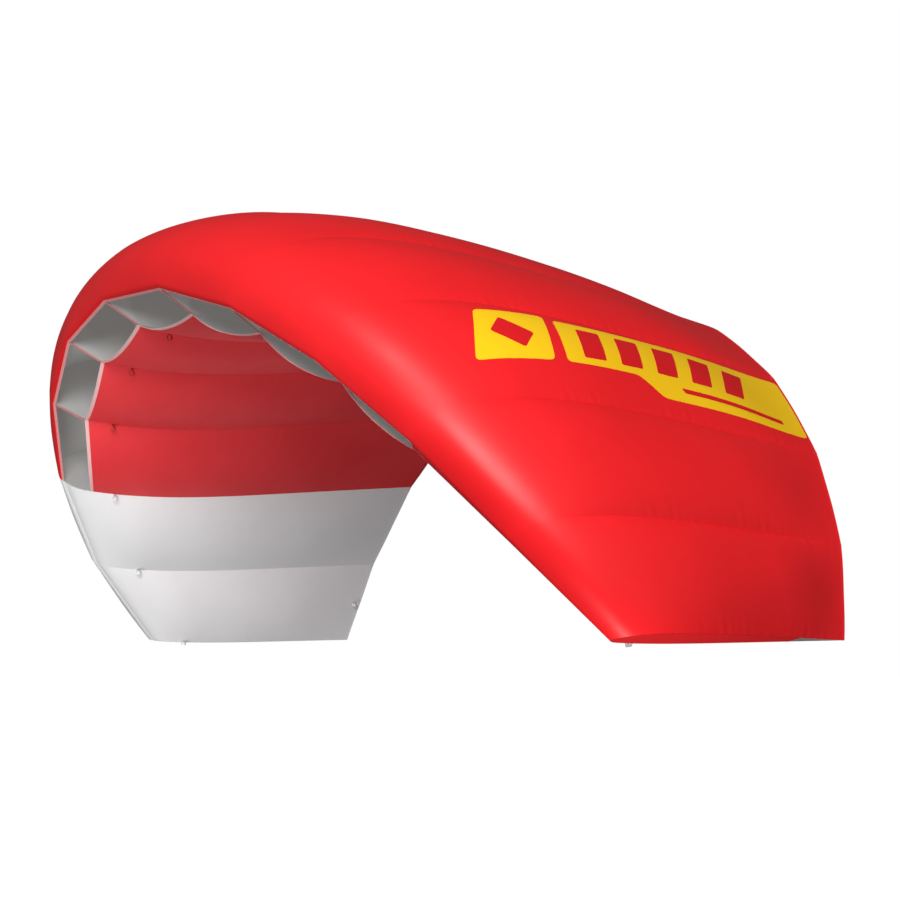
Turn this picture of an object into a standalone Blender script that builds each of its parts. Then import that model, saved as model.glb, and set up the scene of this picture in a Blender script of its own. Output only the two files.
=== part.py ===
"""Ram-air foil kite with open intakes, modelled in Blender 4.5 (metres, +Z up).

The canopy is an arch of eleven inflated cells between twelve cloth ribs.  The seven
middle cells are open at the leading edge and the two outer cells of each tip are
closed.  +X runs along the span to the right tip, +Y from the leading edge to the
trailing edge.  The origin is midway between the two front line tabs nearest the
centre.  The rear fifth of every cell except the middle one is a tail that hinges
down when the brake lines are pulled.
"""
import math

import bmesh
import bpy
from mathutils import Matrix, Vector

# --- canopy plan, in metres and degrees -------------------------------------------
CELL_COUNT = 11
CLOSED_TIP_CELLS = 2          # closed cells at each tip
CENTRE_CELL_WIDTH = 0.420
TIP_CELL_WIDTH = 0.291
CENTRE_CHORD = 1.770
TIP_CHORD = 0.785
CHORD_POWER = 1.965           # how late the chord shortens towards the tips
TIP_SWEEP = 0.770             # how far the tip's nose lies behind the centre's
SWEEP_POWER = 2.07
ARCH_STEP = 13.065            # turn from one rib to the next at the centre
ARCH_GROWTH = 0.0441          # cubic growth of that turn towards the tips

# --- rib section, in fractions of the chord ---------------------------------------
TOP_ROUND = 0.486             # sets the nose radius and the crown height
TOP_FLAT = 0.284
UPPER_LIP_X = 0.0096
UPPER_LIP_R = -0.0115
LOWER_LIP_X = 0.0674
LOWER_LIP_R = -0.0486
BOTTOM_BELLY = 0.0506
BOTTOM_FRONT_BELLY = 0.181
HINGE_X = 0.780               # where the tails hinge
NOSE_CONTROL_X = 0.020        # rounding of the closed noses under the upper lip
NOSE_CONTROL_R = -0.0394

# --- cloth and seams, in metres ----------------------------------------------------
SKIN_THICKNESS = 0.0020
RIB_THICKNESS = 0.0020
SEAM_GAP = 0.0032             # from a rib's middle plane to a skin's side edge
LIP_SEAM_ROOM = 35.0          # part of a closed nose left open at its seam, per m of cloth
TOP_BILLOW = 0.0485           # bulge between two ribs, fraction of the cell's width
BOTTOM_BILLOW = 0.060
NOSE_LAP = 0.0115             # how much further a closed nose bulges than the lip it meets
TAIL_EDGE_RADIUS = 0.0035     # half the height of the fold at the trailing edge
TAIL_GAP = 0.0030             # between the tails and the cloth ahead of them
TAIL_SIDE_GAP = 0.0030        # between a tail's side and the rib plane at the hinge
TAIL_TRAVEL = 20.0            # degrees that the tails turn down
TAIL_SIDE_SLACK = 0.0030      # spare room beside a tail that is fully down

# --- webbing tabs, in metres --------------------------------------------------------
FRONT_TAB_X = 0.130           # fraction of the chord
TAB_WIDTH = 0.018
TAB_LENGTH = 0.028
TAB_THICKNESS = 0.0020
TAB_HOLE_WIDTH = 0.0096
TAB_HOLE_LENGTH = 0.0120
TAB_DROP = 0.0018             # from the seam to the tab's swing axis
BRAKE_TAB_X = 0.960

# --- cross-ports in the ribs ---------------------------------------------------------
PORT_STATIONS = (0.20, 0.38, 0.56)
PORT_FILL = 0.27              # radius as a fraction of the rib's depth there

# --- mesh density ---------------------------------------------------------------------
TOP_STEPS = 11
BOTTOM_STEPS = 7
NOSE_STEPS = 3
SPAN_STEPS = 5
PORT_POINTS = 12

RIB_COUNT = CELL_COUNT + 1
HALF_SPAN = CELL_COUNT / 2.0
CHORD_AXIS = Vector((0.0, 1.0, 0.0))

RED = (0.80, 0.020, 0.022, 1.0)
DEEP_RED = (0.55, 0.018, 0.022, 1.0)
WHITE = (0.86, 0.86, 0.86, 1.0)
GREY = (0.60, 0.58, 0.56, 1.0)
WEBBING_RED = (0.45, 0.012, 0.016, 1.0)
WEBBING_WHITE = (0.80, 0.80, 0.80, 1.0)


def material(name, colour, roughness):
    """A cloth or webbing finish."""
    made = bpy.data.materials.get(name)
    if made is None:
        made = bpy.data.materials.new(name)
        made.use_nodes = True
        shader = made.node_tree.nodes["Principled BSDF"]
        shader.inputs["Base Color"].default_value = colour
        shader.inputs["Roughness"].default_value = roughness
        shader.inputs["Metallic"].default_value = 0.0
    return made


# --- the canopy's plan ------------------------------------------------------------------
def rib_angle(station):
    """Turn of the rib plane about Y, in radians, at a station counted in cells."""
    return math.radians(ARCH_STEP * station + ARCH_GROWTH * station ** 3)


def chord_at(station):
    share = abs(station / HALF_SPAN) ** CHORD_POWER
    return CENTRE_CHORD - (CENTRE_CHORD - TIP_CHORD) * share


def sweep_at(station):
    return TIP_SWEEP * abs(station / HALF_SPAN) ** SWEEP_POWER


def cell_width(cell):
    share = ((cell - HALF_SPAN + 0.5) / (HALF_SPAN - 0.5)) ** 2
    return CENTRE_CELL_WIDTH - (CENTRE_CELL_WIDTH - TIP_CELL_WIDTH) * share


def rib_stations():
    return [rib - HALF_SPAN for rib in range(RIB_COUNT)]


def rib_places():
    """(x, z) of each rib's chord line: the cells laid end to end round the arch."""
    places = [Vector((0.0, 0.0))]
    stations = rib_stations()
    for cell in range(CELL_COUNT):
        middle = (rib_angle(stations[cell]) + rib_angle(stations[cell + 1])) / 2.0
        step = Vector((math.cos(middle), -math.sin(middle))) * cell_width(cell)
        places.append(places[-1] + step)
    centre = (places[CELL_COUNT // 2] + places[CELL_COUNT // 2 + 1]) / 2.0
    return [place - centre for place in places]


# --- the section ----------------------------------------------------------------------------
def top_height(x):
    return (TOP_ROUND * math.sqrt(x) - TOP_FLAT * x) * (1.0 - x)


def bottom_height(x):
    share = (x - LOWER_LIP_X) / (1.0 - LOWER_LIP_X)
    rest = 1.0 - share
    return LOWER_LIP_R * rest - share * rest * (BOTTOM_BELLY + BOTTOM_FRONT_BELLY * rest ** 2)


def top_point(t):
    """Point on the upper skin, from the intake's lip (t=0) to the tail hinge (t=1)."""
    lip = UPPER_LIP_R / (TOP_ROUND * math.sqrt(HINGE_X))
    q = lip + (1.0 - lip) * t
    if q < 0.0:
        return UPPER_LIP_X * (q / lip) ** 2, UPPER_LIP_R * (q / lip)
    x = HINGE_X * q * q
    return x, top_height(x)


def bottom_point(t):
    """Point on the lower skin, from the lower lip (t=0) to the tail hinge (t=1)."""
    x = LOWER_LIP_X + (HINGE_X - LOWER_LIP_X) * t
    return x, bottom_height(x)


def nose_point(t):
    """Point on a closed nose, from the upper lip (t=0) to the lower lip (t=1)."""
    a = (1.0 - t) ** 2
    b = 2.0 * t * (1.0 - t)
    c = t * t
    x = a * UPPER_LIP_X + b * NOSE_CONTROL_X + c * LOWER_LIP_X
    r = a * UPPER_LIP_R + b * NOSE_CONTROL_R + c * LOWER_LIP_R
    return x, r


def steps(first, last, count):
    return [first + (last - first) * i / count for i in range(count + 1)]


def is_closed_cell(cell):
    return cell < CLOSED_TIP_CELLS or cell >= CELL_COUNT - CLOSED_TIP_CELLS


def rib_is_closed(rib):
    """A rib beside a closed cell carries the full nose."""
    beside = [cell for cell in (rib - 1, rib) if 0 <= cell < CELL_COUNT]
    return any(is_closed_cell(cell) for cell in beside)


class Rib:
    """One rib plane: where it stands and how big its section is."""

    def __init__(self, nose, angle, chord):
        self.nose = nose
        self.angle = angle
        self.chord = chord
        self.up = Vector((math.sin(angle), 0.0, math.cos(angle)))
        self.across = Vector((math.cos(angle), 0.0, -math.sin(angle)))

    def halfway(self, other):
        """The plane midway between two ribs, with their mean section."""
        nose = self.nose.lerp(other.nose, 0.5)
        return Rib(nose, (self.angle + other.angle) / 2.0, (self.chord + other.chord) / 2.0)

    def point(self, x, r):
        """World point at chord fraction x and height fraction r."""
        return self.nose + CHORD_AXIS * (x * self.chord) + self.up * (r * self.chord)

    def matrix(self):
        """Frame with X along the chord, Y up the section and Z along the span."""
        turn = Matrix((CHORD_AXIS, self.up, self.across)).transposed()
        return Matrix.Translation(self.nose) @ turn.to_4x4()


def make_ribs():
    """The ribs, with the origin midway between the two middle front tabs."""
    ribs = []
    for station, place in zip(rib_stations(), rib_places()):
        nose = Vector((place.x, sweep_at(station), place.y))
        ribs.append(Rib(nose, rib_angle(station), chord_at(station)))
    middle = ribs[CELL_COUNT // 2]
    tab = middle.point(FRONT_TAB_X, bottom_height(FRONT_TAB_X))
    for rib in ribs:
        rib.nose -= Vector((0.0, tab.y, tab.z))
    return ribs


# --- object helpers ----------------------------------------------------------------------------
def add_object(name, data, collection, finish, matrix=None):
    made = bpy.data.objects.new(name, data)
    collection.objects.link(made)
    data.materials.append(finish)
    if matrix is not None:
        made.matrix_world = matrix
    return made


def outline_object(name, loops, thickness, matrix, collection, finish):
    """A flat piece: an outline with its holes, extruded to its thickness."""
    curve = bpy.data.curves.new(name, "CURVE")
    curve.dimensions = "2D"
    curve.fill_mode = "BOTH"
    curve.extrude = thickness / 2.0
    for loop in loops:
        spline = curve.splines.new("POLY")
        spline.points.add(len(loop) - 1)
        spline.use_cyclic_u = True
        for point, (x, y) in zip(spline.points, loop):
            point.co = (x, y, 0.0, 1.0)
    return add_object(name, curve, collection, finish, matrix)


def ring(x, y, width, length, count):
    """Points round a slot with half-round ends, long side along y."""
    radius = width / 2.0
    reach = max(0.0, (length - width) / 2.0)
    points = []
    for i in range(count):
        angle = 2.0 * math.pi * (i + 0.5) / count
        side = reach if math.sin(angle) > 0.0 else -reach
        points.append((x + radius * math.cos(angle), y + side + radius * math.sin(angle)))
    return points


def sheet_object(name, place, columns, rows, collection, finish):
    """Cloth: a grid laid over the surface place(u, v), thickened on its inner side."""
    mesh = bpy.data.meshes.new(name)
    grid = bmesh.new()
    bmesh.ops.create_grid(grid, x_segments=columns, y_segments=rows, size=0.5)
    for vertex in grid.verts:
        vertex.co = place(vertex.co.x + 0.5, vertex.co.y + 0.5)
    grid.to_mesh(mesh)
    grid.free()
    mesh.shade_smooth()
    made = add_object(name, mesh, collection, finish)
    thicken = made.modifiers.new("thickness", "SOLIDIFY")
    thicken.thickness = SKIN_THICKNESS
    thicken.offset = -1.0
    return made


def outward(left, right, section, t):
    """Outward direction of a cell's skin at t, square to the section and the cell."""
    small = 0.004
    x0, r0 = section(max(0.0, t - small))
    x1, r1 = section(min(1.0, t + small))
    along = CHORD_AXIS * (x1 - x0) + (left.up + right.up).normalized() * (r1 - r0)
    span = right.nose - left.nose
    return span.cross(along).normalized()


def skin_place(left, right, section, billow, side, inset):
    """The surface between two ribs: straight from rib to rib, plus the bulge."""
    width = (right.nose - left.nose).length
    edge = inset / (right.nose - left.nose).dot(left.across)

    def place(u, v):
        share = edge + (1.0 - 2.0 * edge) * u
        if side < 0.0:
            share = 1.0 - share
        x, r = section(v)
        flat = left.point(x, r).lerp(right.point(x, r), share)
        bulge = billow(v) * width * 4.0 * share * (1.0 - share)
        return flat + outward(left, right, section, v) * (bulge * side)

    return place


# --- the pieces -----------------------------------------------------------------------------------
def closed_section(t):
    """Closed nose and lower skin in one run, t from just under the upper lip."""
    split = NOSE_STEPS / (NOSE_STEPS + BOTTOM_STEPS)
    if t < split:
        room = LIP_SEAM_ROOM * SKIN_THICKNESS
        return nose_point(room + (1.0 - room) * t / split)
    return bottom_point((t - split) / (1.0 - split))


def top_billow(t):
    return TOP_BILLOW


def bottom_billow(t):
    return BOTTOM_BILLOW


def closed_billow(t):
    """A closed nose starts just outside the bulge of the upper lip, whatever that is."""
    split = NOSE_STEPS / (NOSE_STEPS + BOTTOM_STEPS)
    run = min(1.0, t / split)
    return (TOP_BILLOW + NOSE_LAP) * (1.0 - run) + BOTTOM_BILLOW * run


def tail_hinge(cell, ribs):
    """A tail's hinge line: a point on it and its direction, along the lowest skin."""
    left = ribs[cell].point(HINGE_X, bottom_height(HINGE_X))
    right = ribs[cell + 1].point(HINGE_X, bottom_height(HINGE_X))
    width = (ribs[cell + 1].nose - ribs[cell].nose).length
    below = -outward(ribs[cell], ribs[cell + 1], bottom_point, 1.0)
    return left.lerp(right, 0.5) + below * (BOTTOM_BILLOW * width), (right - left).normalized()


def make_top_panel(cell, ribs, collection):
    place = skin_place(ribs[cell], ribs[cell + 1], top_point, top_billow, 1.0, SEAM_GAP)
    finish = material("red_ripstop", RED, 0.45)
    name = f"top_panel_{cell + 1:02d}"
    return sheet_object(name, place, SPAN_STEPS, TOP_STEPS, collection, finish)


def make_bottom_panel(cell, ribs, collection):
    section = bottom_point
    billow = bottom_billow
    rows = BOTTOM_STEPS
    finish = material("deep_red_ripstop", DEEP_RED, 0.5)
    if is_closed_cell(cell):
        section = closed_section
        billow = closed_billow
        rows = BOTTOM_STEPS + NOSE_STEPS
        finish = material("white_ripstop", WHITE, 0.5)
    place = skin_place(ribs[cell], ribs[cell + 1], section, billow, -1.0, SEAM_GAP)
    name = f"bottom_panel_{cell + 1:02d}"
    return sheet_object(name, place, SPAN_STEPS, rows, collection, finish)


def make_rib(index, ribs, collection):
    """A cloth rib, open or closed at the nose; all but the two tip ribs have cross-ports."""
    rib = ribs[index]
    top = [top_point(t) for t in steps(0.0, 1.0, TOP_STEPS)]
    bottom = [bottom_point(t) for t in steps(1.0, 0.0, BOTTOM_STEPS)]
    nose = []
    if rib_is_closed(index):
        nose = [nose_point(t) for t in steps(1.0, 0.0, NOSE_STEPS)[1:-1]]
    loops = [[(x * rib.chord, r * rib.chord) for x, r in top + bottom + nose]]
    is_tip = index in (0, RIB_COUNT - 1)
    for station in () if is_tip else PORT_STATIONS:
        high = top_height(station)
        low = bottom_height(station)
        radius = PORT_FILL * (high - low) * rib.chord
        middle = (high + low) / 2.0 * rib.chord
        loops.append(ring(station * rib.chord, middle, 2.0 * radius, 2.0 * radius, PORT_POINTS))
    finish = material("grey_rib_cloth", GREY, 0.6)
    name = f"rib_{index + 1:02d}"
    return outline_object(name, loops, RIB_THICKNESS, rib.matrix(), collection, finish)


def tail_section(chord):
    """Folded tail cloth: lower side forward edge, round the trailing edge, upper side."""
    start = HINGE_X + TAIL_GAP / chord
    edge = TAIL_EDGE_RADIUS / chord

    def section(t):
        side = 1.0 if t > 0.5 else -1.0
        run = abs(t - 0.5) * 2.0
        x = 1.0 - (1.0 - start) * run
        if run < 0.02:
            return 1.0, 0.0
        height = top_height(x) if side > 0.0 else bottom_height(x)
        return x, side * max(abs(height), edge)

    return section


def tail_rows(chord):
    """Fractions along the fold, with rows close to the trailing edge."""
    near = 2.5 * TAIL_EDGE_RADIUS / (chord * (1.0 - HINGE_X))
    half = [1.0, 0.6, 0.25, near, 0.0]
    lower = [0.5 - 0.5 * run for run in half]
    upper = [0.5 + 0.5 * run for run in reversed(half[:-1])]
    return lower + upper


def make_tail(cell, ribs, collection):
    """The rear of a cell: one folded sheet, narrowing so that it clears its neighbours."""
    left = ribs[cell]
    right = ribs[cell + 1]
    width = (right.nose - left.nose).length
    chord = (left.chord + right.chord) / 2.0
    turn = max(abs(right.angle - left.angle), math.radians(ARCH_STEP))
    drop = (1.0 - HINGE_X) * max(left.chord, right.chord) * math.sin(math.radians(TAIL_TRAVEL))
    squeeze = drop * math.tan(turn / 2.0) + TAIL_SIDE_SLACK
    section = tail_section(chord)
    rows = tail_rows(chord)
    above = outward(left, right, top_point, 1.0)
    below = -outward(left, right, bottom_point, 1.0)

    def place(u, v):
        run = rows[round(v * (len(rows) - 1))]
        x, r = section(run)
        aft = (x - HINGE_X) / (1.0 - HINGE_X)
        inset = (TAIL_SIDE_GAP + squeeze * max(0.0, aft)) / width
        share = 1.0 - inset - (1.0 - 2.0 * inset) * u
        flat = left.point(x, r).lerp(right.point(x, r), share)
        billow = (TOP_BILLOW if run > 0.5 else BOTTOM_BILLOW) * (1.0 - aft)
        bulge = billow * width * 4.0 * share * (1.0 - share)
        return flat + (above if run > 0.5 else below) * bulge

    finish = material("red_ripstop", RED, 0.45)
    name = f"tail_{cell + 1:02d}"
    return sheet_object(name, place, SPAN_STEPS, len(rows) - 1, collection, finish)


def tab_loops():
    """Folded webbing with a round lower end, hung from its top edge at y = 0."""
    half = TAB_WIDTH / 2.0
    straight = TAB_LENGTH - half
    arc = [(half * math.cos(a), -straight - half * math.sin(a)) for a in steps(0.0, math.pi, 8)]
    outline = [(half, 0.0)] + arc + [(-half, 0.0)]
    hole = ring(0.0, -straight + 0.001, TAB_HOLE_WIDTH, TAB_HOLE_LENGTH, PORT_POINTS)
    return [outline, hole]


def tab_matrix(rib, x, drop):
    """Frame a little below the lower skin: X along the seam, Y up into the canopy."""
    small = 0.01
    ahead = rib.point(x - small, bottom_height(x - small))
    behind = rib.point(x + small, bottom_height(x + small))
    along = (behind - ahead).normalized()
    up = rib.across.cross(along).normalized()
    place = rib.point(x, bottom_height(x)) - up * drop
    turn = Matrix((along, up, rib.across)).transposed()
    return Matrix.Translation(place) @ turn.to_4x4()


def make_front_tab(index, ribs, collection):
    matrix = tab_matrix(ribs[index], FRONT_TAB_X, TAB_DROP)
    finish = material("red_webbing", WEBBING_RED, 0.7)
    if rib_is_closed(index):
        finish = material("white_webbing", WEBBING_WHITE, 0.7)
    name = f"front_tab_{index + 1:02d}"
    return outline_object(name, tab_loops(), TAB_THICKNESS, matrix, collection, finish)


def make_brake_tab(name, cell, ribs, collection):
    """Brake-line tab under the trailing edge, in the middle of a tip cell's tail."""
    left = ribs[cell]
    right = ribs[cell + 1]
    middle = left.halfway(right)
    width = (right.nose - left.nose).length
    bulge = BOTTOM_BILLOW * (1.0 - BRAKE_TAB_X) / (1.0 - HINGE_X) * width
    matrix = tab_matrix(middle, BRAKE_TAB_X, bulge + TAB_DROP)
    finish = material("white_webbing", WEBBING_WHITE, 0.7)
    return outline_object(name, tab_loops(), TAB_THICKNESS, matrix, collection, finish)


def main():
    for old in list(bpy.data.objects):
        bpy.data.objects.remove(old, do_unlink=True)
    kite = bpy.data.collections.new("foil_kite")
    bpy.context.scene.collection.children.link(kite)
    ribs = make_ribs()
    for cell in range(CELL_COUNT):
        make_top_panel(cell, ribs, kite)
        make_bottom_panel(cell, ribs, kite)
        make_tail(cell, ribs, kite)
    for index in range(RIB_COUNT):
        make_rib(index, ribs, kite)
        make_front_tab(index, ribs, kite)
    make_brake_tab("brake_tab_left", 0, ribs, kite)
    make_brake_tab("brake_tab_right", CELL_COUNT - 1, ribs, kite)


main()
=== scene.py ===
"""Ram-air foil kite with open intakes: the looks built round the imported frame.

Every cloth panel is laid over the same plan and section as the frame's ribs, in metres,
+X to the right tip, +Y from the leading edge to the trailing edge, +Z up.
"""
import math

import bmesh
import bpy
import numpy as np
from mathutils import Matrix, Vector


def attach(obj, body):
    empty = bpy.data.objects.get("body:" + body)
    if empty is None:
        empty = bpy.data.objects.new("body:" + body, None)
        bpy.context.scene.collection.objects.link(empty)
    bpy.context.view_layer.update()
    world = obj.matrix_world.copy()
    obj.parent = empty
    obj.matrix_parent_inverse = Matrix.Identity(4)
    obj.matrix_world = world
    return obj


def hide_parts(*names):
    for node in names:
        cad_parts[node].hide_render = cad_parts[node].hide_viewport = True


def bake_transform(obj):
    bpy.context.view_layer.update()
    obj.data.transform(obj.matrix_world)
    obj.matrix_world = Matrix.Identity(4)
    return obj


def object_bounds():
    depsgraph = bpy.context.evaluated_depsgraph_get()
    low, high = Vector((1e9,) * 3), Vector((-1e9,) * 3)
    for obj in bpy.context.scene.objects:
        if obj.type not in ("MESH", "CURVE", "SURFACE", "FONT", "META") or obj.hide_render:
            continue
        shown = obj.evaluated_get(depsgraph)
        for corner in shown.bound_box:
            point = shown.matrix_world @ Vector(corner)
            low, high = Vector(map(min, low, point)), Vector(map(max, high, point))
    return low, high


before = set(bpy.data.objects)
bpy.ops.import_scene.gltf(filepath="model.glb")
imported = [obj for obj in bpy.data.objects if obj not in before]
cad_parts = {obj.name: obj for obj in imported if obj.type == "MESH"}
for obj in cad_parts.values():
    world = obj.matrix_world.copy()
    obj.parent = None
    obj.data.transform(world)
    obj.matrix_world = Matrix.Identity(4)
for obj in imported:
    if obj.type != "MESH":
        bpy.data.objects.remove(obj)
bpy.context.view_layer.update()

# --- canopy plan and section: the frame's driving dimensions --------------------------
CELL_COUNT = 11
CLOSED_TIP_CELLS = 2
CENTRE_CELL_WIDTH = 0.420
TIP_CELL_WIDTH = 0.291
CENTRE_CHORD = 1.770
TIP_CHORD = 0.785
CHORD_POWER = 1.965
TIP_SWEEP = 0.770
SWEEP_POWER = 2.07
ARCH_STEP = 13.065
ARCH_GROWTH = 0.0441
TOP_ROUND = 0.486
TOP_FLAT = 0.284
UPPER_LIP_X = 0.0096
UPPER_LIP_R = -0.0115
LOWER_LIP_X = 0.0674
LOWER_LIP_R = -0.0486
BOTTOM_BELLY = 0.0506
BOTTOM_FRONT_BELLY = 0.181
HINGE_X = 0.780
NOSE_CONTROL_X = 0.020
NOSE_CONTROL_R = -0.0394
FRONT_TAB_X = 0.130
BRAKE_TAB_X = 0.960
PORT_STATIONS = (0.20, 0.38, 0.56)
PORT_FILL = 0.27

# --- cloth ----------------------------------------------------------------------------
CLOTH_THICKNESS = 0.0008      # ripstop, drawn heavier than its 0.05 mm so that it has an edge
STATION_SPACING = 0.0075      # between mesh rows along the chord
RIB_INSET = 0.0022            # the ribs' edges lie this far inside the skins
LIP_EASE = 0.120              # over this distance the cloth goes from a straight lip to full bulge
CELL_COLUMNS = 36
PUCKER_DEPTH = 0.0011
SEAM_DRAW = 0.0085            # how deep the ribs draw the upper skin in behind the nose
SEAM_REACH = 0.026
PUCKER_REACH = 0.030
EDGE_HEIGHT = 0.0012          # half the trailing edge's thickness
TOP_QUILT = 0.044             # extra bulge behind the nose, fraction of the cell's width
BOTTOM_FULL = 0.070           # bulge at the lower lip
BOTTOM_EASED = 0.018          # how much of that is gone behind the front tabs
REAR_FLAT = 0.85              # part of a bulge that the trailing edge takes away
BEND_START = HINGE_X - 0.04   # chord fractions of the skins' bend; no bend is made, pieces reaching past the first are baked in place
BEND_END = HINGE_X + 0.07
SEWN_LIFT = 0.0006            # insignia cloth and tapes lie this far off the skin
SECOND_LIFT = 0.0010          # and a second layer this far

RIB_COUNT = CELL_COUNT + 1
HALF_SPAN = CELL_COUNT / 2.0
CENTRE_CELL = CELL_COUNT // 2
ROOT = "root"


# --- the canopy's plan, as the frame has it -------------------------------------------
def rib_angle(station):
    return math.radians(ARCH_STEP * station + ARCH_GROWTH * station ** 3)


def chord_at(station):
    share = abs(station / HALF_SPAN) ** CHORD_POWER
    return CENTRE_CHORD - (CENTRE_CHORD - TIP_CHORD) * share


def sweep_at(station):
    return TIP_SWEEP * abs(station / HALF_SPAN) ** SWEEP_POWER


def cell_width(cell):
    share = ((cell - HALF_SPAN + 0.5) / (HALF_SPAN - 0.5)) ** 2
    return CENTRE_CELL_WIDTH - (CENTRE_CELL_WIDTH - TIP_CELL_WIDTH) * share


def top_height(x):
    return (TOP_ROUND * np.sqrt(x) - TOP_FLAT * x) * (1.0 - x)


def bottom_height(x):
    share = (x - LOWER_LIP_X) / (1.0 - LOWER_LIP_X)
    rest = 1.0 - share
    return LOWER_LIP_R * rest - share * rest * (BOTTOM_BELLY + BOTTOM_FRONT_BELLY * rest ** 2)


class Rib:
    """One rib plane: its nose, its turn about Y and its chord."""

    def __init__(self, nose, angle, chord):
        self.nose = np.array(nose, float)
        self.angle = angle
        self.chord = chord
        self.up = np.array((math.sin(angle), 0.0, math.cos(angle)))
        self.across = np.array((math.cos(angle), 0.0, -math.sin(angle)))

    def points(self, x, r):
        """World points at chord fractions x and height fractions r."""
        ahead = np.array((0.0, 1.0, 0.0))
        return self.nose + np.outer(x * self.chord, ahead) + np.outer(r * self.chord, self.up)


def make_ribs():
    """The rib planes, with the origin midway between the two middle front tabs."""
    stations = [rib - HALF_SPAN for rib in range(RIB_COUNT)]
    places = [np.zeros(2)]
    for cell in range(CELL_COUNT):
        middle = (rib_angle(stations[cell]) + rib_angle(stations[cell + 1])) / 2.0
        step = np.array((math.cos(middle), -math.sin(middle))) * cell_width(cell)
        places.append(places[-1] + step)
    centre = (places[CENTRE_CELL] + places[CENTRE_CELL + 1]) / 2.0
    made = []
    for station, place in zip(stations, places):
        nose = (place[0] - centre[0], sweep_at(station), place[1] - centre[1])
        made.append(Rib(nose, rib_angle(station), chord_at(station)))
    tab = made[CENTRE_CELL].points(FRONT_TAB_X, bottom_height(FRONT_TAB_X))[0]
    for rib in made:
        rib.nose -= np.array((0.0, tab[1], tab[2]))
    return made


RIBS = make_ribs()


def is_closed_cell(cell):
    return cell < CLOSED_TIP_CELLS or cell >= CELL_COUNT - CLOSED_TIP_CELLS


def rib_is_closed(rib):
    beside = [cell for cell in (rib - 1, rib) if 0 <= cell < CELL_COUNT]
    return any(is_closed_cell(cell) for cell in beside)


# --- paths round the section ----------------------------------------------------------
def even_steps(x, r, spacing, chord):
    """The path resampled at even steps; returns x, r and the distance along it in metres."""
    run = np.concatenate(([0.0], np.cumsum(np.hypot(np.diff(x), np.diff(r))))) * chord
    count = max(4, int(round(run[-1] / spacing)))
    even = np.linspace(0.0, run[-1], count + 1)
    return np.interp(even, run, x), np.interp(even, run, r), even


def top_path(chord, spacing=STATION_SPACING):
    """Upper skin: under the nose at the lip, round the nose and back to the trailing edge."""
    lip = UPPER_LIP_R / (TOP_ROUND * math.sqrt(HINGE_X))
    q = np.linspace(lip, 1.0 / math.sqrt(HINGE_X), 1500)
    ahead = q < 0.0
    x = np.where(ahead, UPPER_LIP_X * (q / lip) ** 2, np.minimum(HINGE_X * q * q, 1.0))
    r = np.where(ahead, UPPER_LIP_R * (q / lip), top_height(x))
    r = np.where(x > 0.5, np.maximum(r, EDGE_HEIGHT / chord), r)
    return even_steps(x, r, spacing, chord)


def bottom_path(chord, closed, spacing=STATION_SPACING):
    """Lower skin: from the lower lip, or round the closed nose, to the trailing edge."""
    x = np.linspace(LOWER_LIP_X, 1.0, 1200)
    r = np.minimum(bottom_height(x), -EDGE_HEIGHT / chord)
    if closed:
        t = np.linspace(0.0, 1.0, 200)[:-1]
        a, b, c = (1.0 - t) ** 2, 2.0 * t * (1.0 - t), t * t
        nose_x = a * UPPER_LIP_X + b * NOSE_CONTROL_X + c * LOWER_LIP_X
        nose_r = a * UPPER_LIP_R + b * NOSE_CONTROL_R + c * LOWER_LIP_R
        x, r = np.concatenate((nose_x, x)), np.concatenate((nose_r, r))
    return even_steps(x, r, spacing, chord)


def ease(x, low, high):
    """0 below low, 1 above high, smooth between."""
    t = np.clip((x - low) / (high - low), 0.0, 1.0)
    return t * t * (3.0 - 2.0 * t)


def top_bulge(x, turn):
    """Bulge of the upper skin between ribs: one smooth arch at the nose, quilted behind."""
    smooth = math.tan(turn / 4.0) / 2.0
    quilted = smooth * 1.12 + TOP_QUILT * ease(x, 0.10, 0.42)
    return quilted * (1.0 - REAR_FLAT * ease(x, 0.70, 1.0))


def bottom_bulge(x):
    """Bulge of the lower skin: fullest at the lower lip, almost none at the trailing edge."""
    eased = BOTTOM_FULL - BOTTOM_EASED * ease(x, 0.07, 0.35)
    return eased * (1.0 - REAR_FLAT * ease(x, 0.65, 1.0))


def follow(piece, cell, x):
    """A piece in the centre cell or forward of the bend rides on the canopy; any other is baked in
    place, on no body.
    """
    if cell == CENTRE_CELL or x.max() < BEND_START:
        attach(piece, ROOT)
        return
    left, right = RIBS[cell], RIBS[cell + 1]
    ahead = (left.points(BEND_START, 0.0)[0] + right.points(BEND_START, 0.0)[0]) / 2.0
    behind = (left.points(BEND_END, 0.0)[0] + right.points(BEND_END, 0.0)[0]) / 2.0
    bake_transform(piece)


# --- laying cloth over a cell ---------------------------------------------------------
def pucker(rib, along, distance, strength):
    """Small gathers that the stitching draws into the cloth beside a rib's seam."""
    phase = rib * 1.7
    wave = 0.55 * np.sin(along * 2.0 * math.pi / 0.034 + phase)
    wave += 0.45 * np.sin(along * 2.0 * math.pi / 0.053 + 2.3 * phase)
    swell = 0.6 + 0.4 * np.sin(along * 2.0 * math.pi / 0.41 + 0.7 * phase)
    near = np.clip(distance / 0.006, 0.0, 1.0) * np.exp(-distance / PUCKER_REACH)
    return strength * wave * swell * near


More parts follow.
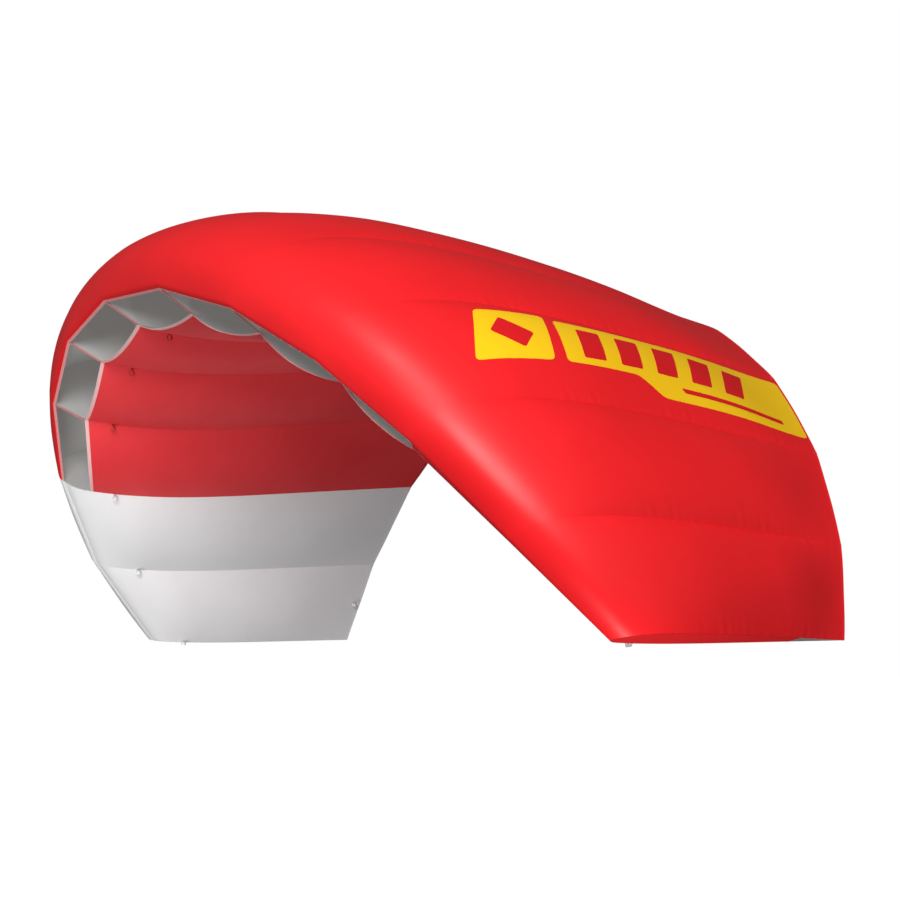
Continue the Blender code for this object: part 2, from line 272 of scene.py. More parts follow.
def cell_points(cell, x, r, along, u, side, lift=0.0):
    """Points of a skin over a cell: rows follow the section, columns cross from rib to rib."""
    left, right = RIBS[cell], RIBS[cell + 1]
    span = right.nose - left.nose
    width = float(np.linalg.norm(span))
    turn = abs(right.angle - left.angle)
    a, b = left.points(x, r), right.points(x, r)
    flat = a[:, None, :] * (1.0 - u)[None, :, None] + b[:, None, :] * u[None, :, None]
    up = left.up + right.up
    up /= np.linalg.norm(up)
    tangent = np.outer(np.gradient(x), (0.0, 1.0, 0.0)) + np.outer(np.gradient(r), up)
    outward = np.cross(span, tangent) * side
    outward /= np.linalg.norm(outward, axis=1)[:, None]
    amount = (top_bulge(x, turn) if side > 0.0 else bottom_bulge(x)) * width
    if side > 0.0:
        amount = amount * ease(along, 0.0, LIP_EASE)
    elif is_closed_cell(cell):
        amount = amount * ease(along, 0.02, 2.0 * LIP_EASE)
    rise = amount[:, None] * (4.0 * u * (1.0 - u))[None, :]
    if side > 0.0:
        drawn = SEAM_DRAW * ease(x, 0.05, 0.24) * (1.0 - 0.8 * ease(x, 0.80, 1.0))
        lean = 1.0 - np.exp(-u * width / SEAM_REACH)
        lean = lean * (1.0 - np.exp((u - 1.0) * width / SEAM_REACH))
        rise = rise + drawn[:, None] * lean[None, :]
    strength = PUCKER_DEPTH * (1.0 - 0.6 * ease(x, 0.85, 1.0)) * ease(x, 0.08, 0.35)
    line = along[:, None]
    rise = rise + pucker(cell, line, (u * width)[None, :], strength[:, None])
    rise = rise + pucker(cell + 1, line, ((1.0 - u) * width)[None, :], strength[:, None])
    slack = 0.0012 * np.sin(2.0 * math.pi * (line / 0.62 + 0.9 * u[None, :]) + cell)
    rise = rise + slack * (np.sin(math.pi * u) ** 2)[None, :] * ease(x, 0.15, 0.4)[:, None]
    return flat + outward[:, None, :] * (rise + lift)[:, :, None]


def crisp_border(mesh):
    """Marks the cloth's free edges sharp, so that its thickness doesn't soften the shading."""
    uses = np.zeros(len(mesh.edges), np.int32)
    edge_of = np.zeros(len(mesh.loops), np.int32)
    mesh.loops.foreach_get("edge_index", edge_of)
    np.add.at(uses, edge_of, 1)
    crisp = mesh.attributes.new("sharp_edge", "BOOLEAN", "EDGE")
    crisp.data.foreach_set("value", uses == 1)


def grid_mesh(name, points, uv, outward_side):
    """A grid of quads from rows and columns of points, with its map in metres."""
    rows, columns = points.shape[:2]
    index = np.arange(rows * columns).reshape(rows, columns)
    quads = np.stack((index[:-1, :-1], index[:-1, 1:], index[1:, 1:], index[1:, :-1]), -1)
    quads = quads.reshape(-1, 4)
    if outward_side < 0.0:
        quads = quads[:, ::-1]
    mesh = bpy.data.meshes.new(name)
    mesh.from_pydata(points.reshape(-1, 3).tolist(), [], quads.tolist())
    layer = mesh.uv_layers.new(name="cloth")
    corners = np.zeros(len(mesh.loops), np.int32)
    mesh.loops.foreach_get("vertex_index", corners)
    layer.data.foreach_set("uv", uv.reshape(-1, 2)[corners].astype(np.float32).ravel())
    mesh.shade_smooth()
    crisp_border(mesh)
    made = bpy.data.objects.new(name, mesh)
    bpy.context.scene.collection.objects.link(made)
    return made


def thicken(piece, thickness, inside=0):
    """Gives cloth its thickness on its inner side; inside is the inner face's material slot."""
    solid = piece.modifiers.new("thickness", "SOLIDIFY")
    solid.thickness = thickness
    solid.offset = -1.0
    solid.material_offset = inside
    solid.material_offset_rim = 0
    return piece


def seam_columns(count):
    """Columns across a cell, closer together beside the seams."""
    t = np.linspace(0.0, 1.0, count + 1)
    return t - 0.11 * np.sin(2.0 * math.pi * t)


def lay_cloth(name, cell, path, side, u, lift=0.0, thickness=CLOTH_THICKNESS, finishes=()):
    """A piece of cloth over a cell, following path = (x, r, along)."""
    x, r, along = path
    points = cell_points(cell, x, r, along, u, side, lift)
    width = float(np.linalg.norm(RIBS[cell + 1].nose - RIBS[cell].nose))
    uv = np.stack(np.broadcast_arrays((u * width)[None, :], along[:, None]), -1)
    piece = grid_mesh(name, points, uv, side)
    for finish in finishes:
        piece.data.materials.append(finish)
    follow(piece, cell, np.repeat(x, len(u)))
    thicken(piece, thickness, 1 if len(finishes) > 1 else 0)
    return piece


def recolour_rows(piece, rows, columns, slot):
    """Gives another finish's slot to the chosen rows of a laid cloth's grid."""
    for row in np.flatnonzero(rows):
        for polygon in piece.data.polygons[row * columns:(row + 1) * columns]:
            polygon.material_index = slot


# --- materials ------------------------------------------------------------------------
def linear(hex_colour):
    """An sRGB hex colour as linear values."""
    made = []
    for start in (0, 2, 4):
        value = int(hex_colour[start:start + 2], 16) / 255.0
        made.append(value / 12.92 if value <= 0.04045 else ((value + 0.055) / 1.055) ** 2.4)
    return (*made, 1.0)


def node(tree, kind, settings=None, inputs=None, links=None):
    """Adds a node: its settings, its unlinked input values and the sockets linked to its inputs."""
    made = tree.nodes.new(kind)
    for name, value in (settings or {}).items():
        setattr(made, name, value)
    for name, value in (inputs or {}).items():
        made.inputs[name].default_value = value
    for name, socket in (links or {}).items():
        tree.links.new(socket, made.inputs[name])
    return made


def new_material(name, roughness, sheen=0.0, specular=0.5):
    made = bpy.data.materials.new(name)
    made.use_nodes = True
    shader = made.node_tree.nodes["Principled BSDF"]
    shader.inputs["Roughness"].default_value = roughness
    shader.inputs["Sheen Weight"].default_value = sheen
    shader.inputs["Specular IOR Level"].default_value = specular
    return made, made.node_tree, shader


def line_mask(tree, coordinate, pitch, share):
    """1 on thin lines every pitch metres of a coordinate, 0 between them."""
    scaled = node(tree, "ShaderNodeMath", {"operation": "DIVIDE"}, {1: pitch}, {0: coordinate})
    wave = node(tree, "ShaderNodeMath", {"operation": "PINGPONG"}, {1: 0.5}, {0: scaled.outputs[0]})
    return node(tree, "ShaderNodeMapRange", {"interpolation_type": "SMOOTHSTEP"},
                {"From Min": 0.0, "From Max": share, "To Min": 1.0, "To Max": 0.0},
                {"Value": wave.outputs[0]}).outputs[0]


# Real ripstop has a heavier thread every 5 mm; drawn every 9 mm so that it shows.
RIPSTOP_PITCH = 0.009


def ripstop_nylon(name, hex_colour, shade_hex, roughness, specular):
    """Coated ripstop nylon sailcloth, woven then calendered: a faint square grid of thicker
    threads, a soft gloss that breaks up in cloudy patches, slight dye variation."""
    made, tree, shader = new_material(name, roughness, 0.0, specular)
    uv = node(tree, "ShaderNodeUVMap", {"uv_map": "cloth"})
    split = node(tree, "ShaderNodeSeparateXYZ", links={0: uv.outputs[0]})
    across = line_mask(tree, split.outputs[0], RIPSTOP_PITCH, 0.09)
    along = line_mask(tree, split.outputs[1], RIPSTOP_PITCH, 0.09)
    grid = node(tree, "ShaderNodeMath", {"operation": "MAXIMUM"}, links={0: across, 1: along})
    place = node(tree, "ShaderNodeTexCoord")
    cloudy = node(tree, "ShaderNodeTexNoise", inputs={"Scale": 2.6, "Detail": 4.0, "Roughness": 0.55},
                  links={"Vector": place.outputs["Object"]})
    dye = node(tree, "ShaderNodeMapRange", inputs={"From Min": 0.3, "From Max": 0.7},
               links={"Value": cloudy.outputs["Fac"]})
    tone = node(tree, "ShaderNodeMix", {"data_type": "RGBA"},
                {6: linear(hex_colour), 7: linear(shade_hex)}, {0: dye.outputs[0]})
    thread = node(tree, "ShaderNodeMath", {"operation": "MULTIPLY"}, {1: 0.10}, {0: grid.outputs[0]})
    lined = node(tree, "ShaderNodeMix", {"data_type": "RGBA"}, {7: linear(shade_hex)},
                 {0: thread.outputs[0], 6: tone.outputs[2]})
    tree.links.new(lined.outputs[2], shader.inputs["Base Color"])
    gloss = node(tree, "ShaderNodeMapRange",
                 inputs={"From Min": 0.3, "From Max": 0.7, "To Min": roughness - 0.04,
                         "To Max": roughness + 0.05}, links={"Value": cloudy.outputs["Fac"]})
    tree.links.new(gloss.outputs[0], shader.inputs["Roughness"])
    weave = node(tree, "ShaderNodeTexNoise", inputs={"Scale": 1.0 / 0.012, "Detail": 3.0},
                 links={"Vector": uv.outputs[0]})
    height = node(tree, "ShaderNodeMath", {"operation": "MULTIPLY_ADD"}, {1: 0.35},
                  {0: weave.outputs["Fac"], 2: grid.outputs[0]})
    bump = node(tree, "ShaderNodeBump", inputs={"Strength": 0.10, "Distance": 0.0004},
                links={"Height": height.outputs[0]})
    tree.links.new(bump.outputs[0], shader.inputs["Normal"])
    return made


def woven_tape(name, hex_colour, shade_hex, roughness):
    """Woven polyester binding tape: fine ribs across its length, matt and slightly hairy."""
    made, tree, shader = new_material(name, roughness, 0.15, 0.3)
    uv = node(tree, "ShaderNodeUVMap", {"uv_map": "cloth"})
    split = node(tree, "ShaderNodeSeparateXYZ", links={0: uv.outputs[0]})
    ribs = line_mask(tree, split.outputs[0], 0.0030, 0.30)
    soft = node(tree, "ShaderNodeMath", {"operation": "MULTIPLY"}, {1: 0.35}, {0: ribs})
    tone = node(tree, "ShaderNodeMix", {"data_type": "RGBA"},
                {6: linear(hex_colour), 7: linear(shade_hex)}, {0: soft.outputs[0]})
    tree.links.new(tone.outputs[2], shader.inputs["Base Color"])
    bump = node(tree, "ShaderNodeBump", inputs={"Strength": 0.35, "Distance": 0.0005},
                links={"Height": ribs})
    tree.links.new(bump.outputs[0], shader.inputs["Normal"])
    return made


def painted_inner_glow(material, hex_colour, strength):
    """Painted glow: emission that lifts the cells' inside, in place of the daylight that uncoated cloth
    as thin as this lets through, so the inside is never dark.
    """
    shader = material.node_tree.nodes["Principled BSDF"]
    shader.inputs["Emission Color"].default_value = linear(hex_colour)
    shader.inputs["Emission Strength"].default_value = strength


def backdrop_paper(name, hex_colour):
    """Matt seamless studio paper: pale, evenly lit, with the faintest mottling."""
    made, tree, shader = new_material(name, 0.9, 0.0, 0.1)
    place = node(tree, "ShaderNodeTexCoord")
    noise = node(tree, "ShaderNodeTexNoise", inputs={"Scale": 0.8},
                 links={"Vector": place.outputs["Object"]})
    tone = node(tree, "ShaderNodeMix", {"data_type": "RGBA"},
                {6: linear(hex_colour), 7: linear("FFFFFF")}, {0: noise.outputs["Fac"]})
    tree.links.new(tone.outputs[2], shader.inputs["Base Color"])
    shader.inputs["Emission Color"].default_value = (1.0, 1.0, 1.0, 1.0)
    shader.inputs["Emission Strength"].default_value = 1.0
    return made


RED_TOP = ripstop_nylon("red_coated_ripstop_nylon", "EC1A20", "E1161C", 0.40, 0.36)
# the lower skins' red: the same red cloth drawn lighter and pinker, a painted sheen and painted light on
# the underside
RED_UNDER_PAINTED_SHEEN = ripstop_nylon("red_ripstop_painted_pink_sheen", "EE4146", "E2383E", 0.50, 0.20)
WHITE_CLOTH = ripstop_nylon("white_coated_ripstop_nylon", "E9E9EA", "E2E2E3", 0.50, 0.25)
# painted shade: the insides of the skins and the ribs are drawn grey for the shade inside the cells; the
# cloth there is red or white
INNER_CLOTH_PAINTED_SHADE = ripstop_nylon("inner_ripstop_painted_shade_grey", "B8B7B5", "AEADAB", 0.60, 0.15)
YELLOW_CLOTH = ripstop_nylon("yellow_insignia_cloth", "FBCB16", "F4C010", 0.42, 0.22)
BLOCK_RED = ripstop_nylon("red_insignia_cloth", "DC1A20", "D2151B", 0.42, 0.22)
UPPER_TAPE = woven_tape("pink_woven_lip_binding", "DC908F", "C67B79", 0.6)
LOWER_TAPE = woven_tape("pale_pink_woven_lip_binding", "F0C0BE", "DBA9A6", 0.6)
EDGE_TAPE = woven_tape("rose_woven_rib_edge_tape", "D28583", "B86D6B", 0.6)
SEAM_TAPE_RED = woven_tape("red_folded_seam_cloth", "D9181E", "B81318", 0.5)
SEAM_TAPE_WHITE = woven_tape("white_folded_seam_cloth", "E4E4E4", "D0D0D1", 0.5)
WEBBING_RED = woven_tape("red_polyester_webbing", "C02026", "9A161B", 0.65)
WEBBING_WHITE = woven_tape("white_polyester_webbing", "E6E6E6", "CACACA", 0.65)
PAPER = backdrop_paper("pale_seamless_paper", "F8F8F8")
# painted glow on the inner cloth
painted_inner_glow(INNER_CLOTH_PAINTED_SHADE, "DAD6D4", 0.10)


# --- skins ----------------------------------------------------------------------------
def mean_chord(cell):
    return (RIBS[cell].chord + RIBS[cell + 1].chord) / 2.0


def width_of(cell):
    return float(np.linalg.norm(RIBS[cell + 1].nose - RIBS[cell].nose))


def under_finish(cell):
    return WHITE_CLOTH if is_closed_cell(cell) else RED_UNDER_PAINTED_SHEEN


WHITE_WRAP_X = 0.034          # the left tip's white runs round its nose to this chord fraction
RED_WRAP = 0.075              # the right tip's red runs this far under its nose, in metres


def make_skins(cell):
    """A cell's two skins, each one panel from its lip or nose to the trailing edge."""
    chord = mean_chord(cell)
    u = seam_columns(CELL_COLUMNS)
    label = f"{cell + 1:02d}"
    is_left = cell < CENTRE_CELL
    top = top_path(chord)
    finishes = (RED_TOP, INNER_CLOTH_PAINTED_SHADE, WHITE_CLOTH, INNER_CLOTH_PAINTED_SHADE)
    upper = lay_cloth(f"top_skin_{label}", cell, top, 1.0, u, finishes=finishes)
    if is_closed_cell(cell) and is_left:
        recolour_rows(upper, top[0][:-1] < WHITE_WRAP_X, CELL_COLUMNS, 2)
    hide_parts(f"top_panel_{label}", f"tail_{label}")
    bottom = bottom_path(chord, is_closed_cell(cell))
    finishes = (under_finish(cell), INNER_CLOTH_PAINTED_SHADE, RED_TOP, INNER_CLOTH_PAINTED_SHADE)
    lower = lay_cloth(f"bottom_skin_{label}", cell, bottom, -1.0, u, finishes=finishes)
    if is_closed_cell(cell) and not is_left:
        recolour_rows(lower, bottom[2][:-1] < RED_WRAP, CELL_COLUMNS, 2)
    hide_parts(f"bottom_panel_{label}")


def inset(outline, depth):
    """A closed outline drawn in by a small depth, square to its edges."""
    points = np.array(outline)
    along = np.roll(points, -1, axis=0) - np.roll(points, 1, axis=0)
    along /= np.linalg.norm(along, axis=1)[:, None]
    return (points + np.stack((along[:, 1], -along[:, 0]), 1) * depth).tolist()


def make_rib_cloth(index):
    """One layer of inner cloth in the rib's plane, with round cross-ports."""
    rib = RIBS[index]
    label = f"{index + 1:02d}"
    x, r, _ = top_path(rib.chord, 0.012)
    top = [(a, b) for a, b in zip(x, r) if a < HINGE_X]
    x, r, _ = bottom_path(rib.chord, rib_is_closed(index), 0.012)
    low = [(a, b) for a, b in zip(x, r) if a < HINGE_X]
    loops = [inset(top + low[::-1], RIB_INSET / rib.chord)]
    is_tip = index in (0, RIB_COUNT - 1)
    for station in () if is_tip else PORT_STATIONS:
        high, deep = top_height(station), bottom_height(station)
        radius = PORT_FILL * (high - deep)
        turns = np.linspace(0.0, 2.0 * math.pi, 49)[:-1]
        middle = (high + deep) / 2.0
        loops.append([(station + radius * math.cos(a), middle + radius * math.sin(a)) for a in turns])
    curve = bpy.data.curves.new(f"rib_outline_{label}", "CURVE")
    curve.dimensions = "2D"
    curve.fill_mode = "BOTH"
    curve.extrude = 0.0004
    for loop in loops:
        spline = curve.splines.new("POLY")
        spline.points.add(len(loop) - 1)
        spline.use_cyclic_u = True
        for point, (a, b) in zip(spline.points, loop):
            point.co = (a * rib.chord, b * rib.chord, 0.0, 1.0)
    flat = bpy.data.objects.new(f"rib_flat_{label}", curve)
    bpy.context.scene.collection.objects.link(flat)
    mesh = bpy.data.meshes.new_from_object(flat.evaluated_get(bpy.context.evaluated_depsgraph_get()))
    bpy.data.objects.remove(flat)
    mesh.name = f"rib_cloth_{label}"
    work = bmesh.new()
    work.from_mesh(mesh)
    bmesh.ops.remove_doubles(work, verts=work.verts, dist=0.00005)
    bmesh.ops.recalc_face_normals(work, faces=work.faces)
    layer = work.loops.layers.uv.new("cloth")
    for face in work.faces:
        for corner in face.loops:
            corner[layer].uv = (corner.vert.co.x, corner.vert.co.y)
    work.to_mesh(mesh)
    work.free()
    turn = np.stack(((0.0, 1.0, 0.0), rib.up, rib.across), axis=1)
    mesh.transform(Matrix.Translation(Vector(rib.nose)) @ Matrix(turn.tolist()).to_4x4())
    piece = bpy.data.objects.new(f"rib_cloth_{label}", mesh)
    bpy.context.scene.collection.objects.link(piece)
    mesh.materials.append(INNER_CLOTH_PAINTED_SHADE if not is_tip else RED_TOP)
    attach(piece, ROOT)
    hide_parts(f"rib_{label}")


# --- tapes ----------------------------------------------------------------------------
def part_of(path, first, last, spacing=0.004):
    """A stretch of a path between two distances along it."""
    x, r, along = path
    even = np.linspace(first, last, max(3, int((last - first) / spacing)) + 1)
    return np.interp(even, along, x), np.interp(even, along, r), even


LIP_TAPE_WIDTH_TOP = 0.010
LIP_TAPE_WIDTH_BOTTOM = 0.012
BINDING_WIDTH = 0.010         # of each side of the folded trailing-edge binding


def make_lip_tapes(cell):
    """The bindings round an open intake's upper and lower lips."""
    chord = mean_chord(cell)
    label = f"{cell + 1:02d}"
    u = np.linspace(0.0, 1.0, CELL_COLUMNS + 1)
    upper = part_of(top_path(chord), 0.0, LIP_TAPE_WIDTH_TOP)
    piece = lay_cloth(f"upper_lip_tape_{label}", cell, upper, 1.0, u, SEWN_LIFT, 0.0020, (UPPER_TAPE,))
    lower = part_of(bottom_path(chord, False), 0.0, LIP_TAPE_WIDTH_BOTTOM)
    piece = lay_cloth(f"lower_lip_tape_{label}", cell, lower, -1.0, u, SEWN_LIFT, 0.0020, (LOWER_TAPE,))


def make_edge_binding(cell):
    """The folded binding over both skins at the trailing edge."""
    chord = mean_chord(cell)
    ahead = 1.0 - BINDING_WIDTH / chord
    x = np.concatenate((np.linspace(ahead, 1.0, 5), np.linspace(1.0, ahead, 5)[1:]))
    edge = EDGE_HEIGHT / chord
    low = np.minimum(bottom_height(x[:5]), -edge)
    high = np.maximum(top_height(x[4:]), edge)
    r = np.concatenate((low[:4], [0.0], high[1:]))
    x[4] += 0.0012 / chord
    along = np.concatenate(([0.0], np.cumsum(np.hypot(np.diff(x), np.diff(r))))) * chord
    u = np.linspace(0.0, 1.0, 13)
    label = f"{cell + 1:02d}"
    finishes = (SEAM_TAPE_RED, SEAM_TAPE_RED, SEAM_TAPE_WHITE, SEAM_TAPE_WHITE)
    name = f"trailing_binding_{label}"
    piece = lay_cloth(name, cell, (x, r, along), -1.0, u, 0.0007, 0.0005, finishes)
    if is_closed_cell(cell):
        recolour_rows(piece, np.arange(len(x) - 1) < 4, 12, 2)


def ribbon(name, centres, direction, widths, thickness, finish):
    """A strip of tape: its middle line runs through the centres, its width lies along direction."""
    centres = np.array(centres, float)
    direction = np.array(direction, float) / np.linalg.norm(direction)
    widths = np.broadcast_to(widths, len(centres))
    offsets = widths[:, None] * np.array((-0.5, 0.0, 0.5))
    points = centres[:, None, :] + offsets[:, :, None] * direction
    run = np.concatenate(([0.0], np.cumsum(np.linalg.norm(np.diff(centres, axis=0), axis=1))))
    uv = np.stack(np.broadcast_arrays(run[:, None], offsets), -1)
    piece = grid_mesh(name, points, uv, 1.0)
    piece.data.materials.append(finish)
    thicken(piece, thickness).modifiers["thickness"].offset = 0.0
    return piece


RIB_EDGE_TAPE = 0.010


def make_rib_edge_tape(index):
    """The binding folded over an open rib's straight front edge, from lip to lip."""
    rib = RIBS[index]
    t = np.linspace(0.0, 1.0, 13)
    x = UPPER_LIP_X + (LOWER_LIP_X - UPPER_LIP_X) * t
    r = UPPER_LIP_R + (LOWER_LIP_R - UPPER_LIP_R) * t
    piece = ribbon(f"rib_edge_tape_{index + 1:02d}", rib.points(x, r), (0.0, 1.0, 0.0),
                   RIB_EDGE_TAPE, 0.0030, EDGE_TAPE)
    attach(piece, ROOT)


# --- line tabs: folded webbing loops, sewn into the lower seams -----------------------
TAB_DROP = 0.0018
LOOP_REACH = 0.0272           # the loop's depth below the cloth
LOOP_RADIUS = 0.0074
LOOP_WIDTH = 0.0100           # width of the webbing, folded narrower where it enters the seam


def loop_centres(place, along, up):
    """The webbing's middle line: down from the seam, round the loop and back."""
    turns = np.linspace(0.0, math.pi, 13)
    low = LOOP_REACH - LOOP_RADIUS
    side = [(-0.0009, 0.0007), (-0.0011, -0.0030), (-0.0042, -0.0085), (-LOOP_RADIUS, -0.0145)]
    arc = [(-LOOP_RADIUS * math.cos(a), -low - LOOP_RADIUS * math.sin(a)) for a in turns]
    line = side + arc + [(-a, b) for a, b in reversed(side)]
    folded = [0.16, 0.30, 0.60, 1.0]
    widths = LOOP_WIDTH * np.array(folded + [1.0] * len(arc) + folded[::-1])
    return [place + along * a + up * b for a, b in line], widths


def make_tab(name, rib, x, drop, body, finish):
    """A webbing loop in a rib's plane on the lower skin, at chord fraction x."""
    near = np.array((x - 0.01, x, x + 0.01))
    ends = rib.points(near, bottom_height(near))
    along = (ends[2] - ends[0]) / np.linalg.norm(ends[2] - ends[0])
    up = np.cross(rib.across, along)
    seam = ends[1] - up * drop
    centres, widths = loop_centres(seam, along, up)
    piece = ribbon(f"loop_of_{name}", centres, rib.across, widths, 0.0014, finish)
    if body == name:
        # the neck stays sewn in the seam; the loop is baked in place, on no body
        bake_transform(piece)
    else:
        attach(piece, body)
    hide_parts(name)


def make_tabs():
    for index, rib in enumerate(RIBS):
        name = f"front_tab_{index + 1:02d}"
        finish = WEBBING_WHITE if rib_is_closed(index) else WEBBING_RED
        make_tab(name, rib, FRONT_TAB_X, TAB_DROP, name, finish)
    for side, cell in (("left", 0), ("right", CELL_COUNT - 1)):
        left, right = RIBS[cell], RIBS[cell + 1]
        nose = (left.nose + right.nose) / 2.0
        middle = Rib(nose, (left.angle + right.angle) / 2.0, mean_chord(cell))
        drop = float(bottom_bulge(np.array(BRAKE_TAB_X))) * width_of(cell) + TAB_DROP
        make_tab(f"brake_tab_{side}", middle, BRAKE_TAB_X, drop, f"tail_{cell + 1:02d}", WEBBING_WHITE)


# --- the graphic: plain shapes of insignia cloth on one wing --------------------------
GRAPHIC_CELL = 8
PATCH_STEP = 0.014
# corners as (distance from the lip along the cloth in metres, fraction of the cell's width)
BLOCK = ((0.492, 0.142), (0.718, 0.122), (0.614, 0.676), (0.356, 0.684))
BLOCK_DIAMOND = ((0.545, 0.235), (0.615, 0.400), (0.545, 0.565), (0.475, 0.400))
BAND = ((0.742, 0.160), (1.588, 0.096), (1.588, 0.842), (0.980, 0.850),
        (0.916, 0.676), (0.658, 0.676))
BAR_STARTS = (0.800, 0.935, 1.070, 1.205, 1.340)
BAR_WIDTH = 0.080
BAR_SLANT = 0.065
UNDERLINE = ((1.075, 0.706), (1.500, 0.700), (1.500, 0.748), (1.080, 0.754))


def rounded(corners, radius):
    """The outline with its corners rounded."""
    made = []
    count = len(corners)
    for i in range(count):
        before, corner, after = (np.array(corners[k % count]) for k in (i - 1, i, i + 1))
        first = corner + (before - corner) * radius / np.linalg.norm(before - corner)
        last = corner + (after - corner) * radius / np.linalg.norm(after - corner)
        for t in np.linspace(0.0, 1.0, 7):
            made.append((1.0 - t) ** 2 * first + 2.0 * t * (1.0 - t) * corner + t * t * last)
    return made


def patch_mesh(name, outline):
    """A flat patch cut on a fine grid, so that it can follow the cloth under it."""
    work = bmesh.new()
    work.faces.new([work.verts.new((a, b, 0.0)) for a, b in outline])
    for axis in (0, 1):
        values = [point[axis] for point in outline]
        for step in range(int(min(values) / PATCH_STEP) + 1, int(max(values) / PATCH_STEP) + 1):
            place, normal = [0.0, 0.0, 0.0], [0.0, 0.0, 0.0]
            place[axis], normal[axis] = step * PATCH_STEP, 1.0
            geometry = work.verts[:] + work.edges[:] + work.faces[:]
            bmesh.ops.bisect_plane(work, geom=geometry, plane_co=place, plane_no=normal, dist=1e-7)
    mesh = bpy.data.meshes.new(name)
    work.to_mesh(mesh)
    work.free()
    return mesh


def lay_patch(name, corners, radius, lift, finish):
    """A patch of insignia cloth sewn on the upper skin of the graphic's cell."""
    cell = GRAPHIC_CELL
    width = width_of(cell)
    x, r, along = top_path(mean_chord(cell))
    u = seam_columns(CELL_COLUMNS)
    surface = cell_points(cell, x, r, along, u, 1.0, lift)
    mesh = patch_mesh(name, rounded([(a, b * width) for a, b in corners], radius))
    flat = np.zeros(3 * len(mesh.vertices))
    mesh.vertices.foreach_get("co", flat)
    run, across = flat.reshape(-1, 3)[:, 0], flat.reshape(-1, 3)[:, 1] / width
    row = np.interp(run, along, np.arange(len(along)))
    column = np.interp(across, u, np.arange(len(u)))
    i, j = row.astype(int).clip(0, len(along) - 2), column.astype(int).clip(0, len(u) - 2)
    a, b = (row - i)[:, None], (column - j)[:, None]
    near = surface[i, j] * (1.0 - b) + surface[i, j + 1] * b
    far = surface[i + 1, j] * (1.0 - b) + surface[i + 1, j + 1] * b
    layer = mesh.uv_layers.new(name="cloth")
    corner_of = np.zeros(len(mesh.loops), np.int32)
    mesh.loops.foreach_get("vertex_index", corner_of)
    uv = np.stack((across * width, run), 1)
    layer.data.foreach_set("uv", uv[corner_of].astype(np.float32).ravel())
    mesh.vertices.foreach_set("co", (near * (1.0 - a) + far * a).ravel())
    mesh.update()
    mesh.flip_normals()
    mesh.shade_smooth()
    crisp_border(mesh)
    mesh.materials.append(finish)
    piece = bpy.data.objects.new(name, mesh)
    bpy.context.scene.collection.objects.link(piece)
    follow(piece, cell, np.interp(run, along, x))
    thicken(piece, 0.0003)


def make_graphic():
    """A block and a band with slanted bars: plain shapes that carry no mark or lettering."""
    lay_patch("graphic_block", BLOCK, 0.022, SEWN_LIFT, YELLOW_CLOTH)
    lay_patch("graphic_diamond", BLOCK_DIAMOND, 0.010, SECOND_LIFT, BLOCK_RED)
    lay_patch("graphic_band", BAND, 0.020, SEWN_LIFT, YELLOW_CLOTH)
    for number, start in enumerate(BAR_STARTS):
        end = start + BAR_WIDTH
        bar = ((start, 0.235), (end, 0.230), (end - BAR_SLANT, 0.600), (start - BAR_SLANT, 0.605))
        lay_patch(f"graphic_bar_{number + 1}", bar, 0.008, SECOND_LIFT, BLOCK_RED)
    lay_patch("graphic_underline", UNDERLINE, 0.005, SECOND_LIFT, BLOCK_RED)


# --- camera, light, stage -------------------------------------------------------------
CAMERA_AZIMUTH = 60.85
CAMERA_ELEVATION = -3.276
CAMERA_DISTANCE = 10.046
CAMERA_LENS = 131.42
CAMERA_AIM = (0.428, 0.890, -0.499)    # from the middle of the centre nose


def make_camera():
    data = bpy.data.cameras.new("camera")
    data.lens = CAMERA_LENS
    data.sensor_width = 36.0
    data.clip_end = 100.0
    camera = bpy.data.objects.new("camera", data)
    bpy.context.scene.collection.objects.link(camera)
    nose = RIBS[CENTRE_CELL].nose
    rise = 0.5 * CENTRE_CELL_WIDTH * math.sin(rib_angle(0.5) / 2.0)
    aim = Vector((0.0, nose[1] - sweep_at(0.5), nose[2] + rise)) + Vector(CAMERA_AIM)
    a, e = math.radians(CAMERA_AZIMUTH), math.radians(CAMERA_ELEVATION)
    back = Vector((math.sin(a) * math.cos(e), -math.cos(a) * math.cos(e), math.sin(e)))
    camera.location = aim + back * CAMERA_DISTANCE
    camera.rotation_mode = "QUATERNION"
    camera.rotation_quaternion = (-back).to_track_quat("-Z", "Y")
    bpy.context.scene.camera = camera


def area_light(name, place, aim, size, power):
    data = bpy.data.lights.new(name, "AREA")
    data.shape = "DISK"
    data.size = size
    data.energy = power
    lamp = bpy.data.objects.new(name, data)
    bpy.context.scene.collection.objects.link(lamp)
    lamp.location = place
    lamp.visible_camera = False
    lamp.rotation_euler = (Vector(aim) - Vector(place)).to_track_quat("-Z", "Y").to_euler()


SKY_BELOW = 0.10
SKY_LEVEL = 0.34
SKY_BEYOND = 0.20
FLOOR_DEPTH = 1.2             # the floor lies this far under the kite's lowest point


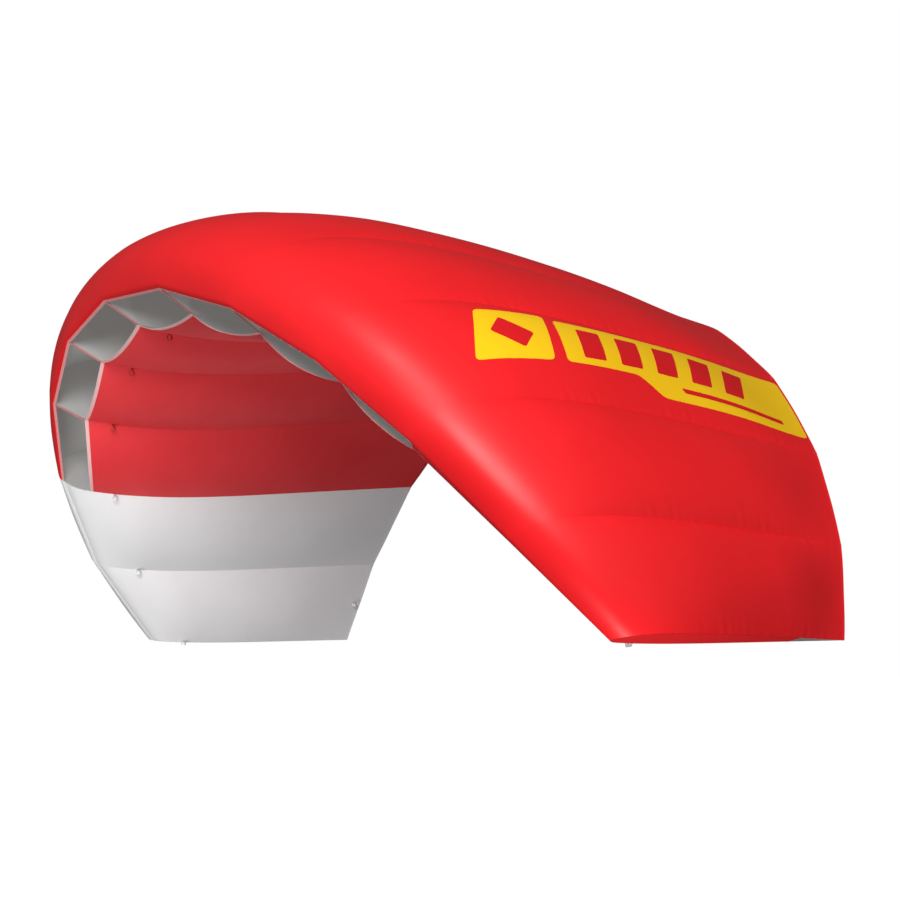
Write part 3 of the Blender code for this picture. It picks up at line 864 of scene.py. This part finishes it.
def sky_strength(tree):
    """Soft light from the camera's side: dim below, so that lower faces fall into shade, and
    dim beyond the kite, so that its crown has no pale glare."""
    place = node(tree, "ShaderNodeTexCoord")
    split = node(tree, "ShaderNodeSeparateXYZ", links={0: place.outputs["Generated"]})
    low = node(tree, "ShaderNodeMapRange", {"interpolation_type": "SMOOTHSTEP"},
               {"From Min": -0.75, "From Max": 0.15, "To Min": SKY_BELOW, "To Max": SKY_LEVEL},
               {"Value": split.outputs[2]})
    facing = node(tree, "ShaderNodeVectorMath", {"operation": "DOT_PRODUCT"}, {1: (0.72, -0.69, 0.0)},
                  {0: place.outputs["Generated"]})
    side = node(tree, "ShaderNodeMapRange", {"interpolation_type": "SMOOTHSTEP"},
                {"From Min": -0.9, "From Max": 0.5, "To Min": SKY_BEYOND, "To Max": 1.0},
                {"Value": facing.outputs["Value"]})
    return node(tree, "ShaderNodeMath", {"operation": "MULTIPLY"},
                links={0: low.outputs[0], 1: side.outputs[0]}).outputs[0]


def make_studio():
    lo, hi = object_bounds()
    floor_level = lo.z - FLOOR_DEPTH
    bpy.ops.object.select_all(action="DESELECT")
    bpy.ops.mesh.primitive_plane_add(size=200.0, location=(0.0, 0.0, floor_level))
    floor = bpy.context.object
    floor.name = "studio_floor"
    floor.data.materials.append(PAPER)
    floor.visible_diffuse = False
    floor.visible_glossy = False
    world = bpy.data.worlds.new("studio")
    bpy.context.scene.world = world
    world.use_nodes = True
    tree = world.node_tree
    soft = tree.nodes["Background"]
    tree.links.new(sky_strength(tree), soft.inputs["Strength"])
    soft.inputs["Color"].default_value = (1.0, 1.0, 1.0, 1.0)
    plain = node(tree, "ShaderNodeBackground", inputs={"Color": (1.0, 1.0, 1.0, 1.0), "Strength": 1.0})
    rays = node(tree, "ShaderNodeLightPath")
    seen = node(tree, "ShaderNodeMixShader", links={0: rays.outputs["Is Camera Ray"], 1: soft.outputs[0],
                                                    2: plain.outputs[0]})
    tree.links.new(seen.outputs[0], tree.nodes["World Output"].inputs["Surface"])
    centre = (lo + hi) / 2.0
    area_light("key", (6.1, -3.9, 1.9), centre, 2.6, 440.0)
    area_light("high_key", (3.6, -3.3, 5.7), centre, 2.6, 170.0)
    area_light("low_fill", (-0.35, -0.65, -1.45), (-1.3, 0.40, -0.6), 0.8, 14.5)
    area_light("tip_fill", (1.72, 0.30, -1.95), (1.60, 1.00, -0.98), 0.5, 11.0)
    bpy.context.scene.view_settings.view_transform = "Standard"


# --- the kite -------------------------------------------------------------------------
for cell in range(CELL_COUNT):
    make_skins(cell)
    make_edge_binding(cell)
    if not is_closed_cell(cell):
        make_lip_tapes(cell)
for index in range(RIB_COUNT):
    make_rib_cloth(index)
    if not rib_is_closed(index):
        make_rib_edge_tape(index)
make_tabs()
make_graphic()
make_camera()
make_studio()
